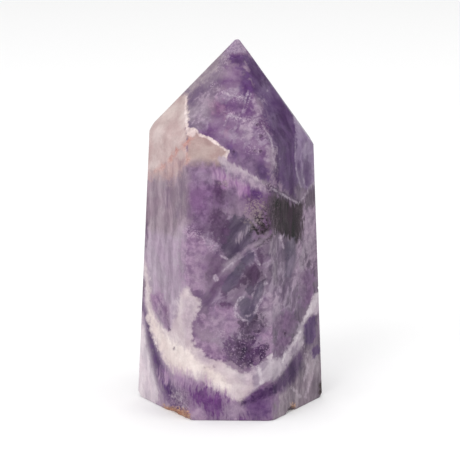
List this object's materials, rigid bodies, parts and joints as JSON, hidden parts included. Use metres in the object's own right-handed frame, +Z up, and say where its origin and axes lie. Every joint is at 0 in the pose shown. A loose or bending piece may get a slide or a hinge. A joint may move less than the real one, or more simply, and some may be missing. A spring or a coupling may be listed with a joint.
{
  "type": "chevron amethyst point",
  "caption": "Polished hexagonal amethyst point: a tapering prism on a flat sawn foot, with sloping faces that meet at a tip.",
  "frame": {"origin": "on the flat foot, under the middle of the stone's outline", "axes": "+Z up to the tip, +X to the right and -Y towards the viewer, square to the front face"},
  "size_m": [0.041, 0.0344, 0.08],
  "materials": {
    "amethyst": "polished chevron amethyst: purple and grey-lilac quartz crossed by white chevron bands, with peach and smoky zones"
  },
  "bodies": {
    "root": {"amethyst_point": "amethyst"}
  },
  "joints": []
}
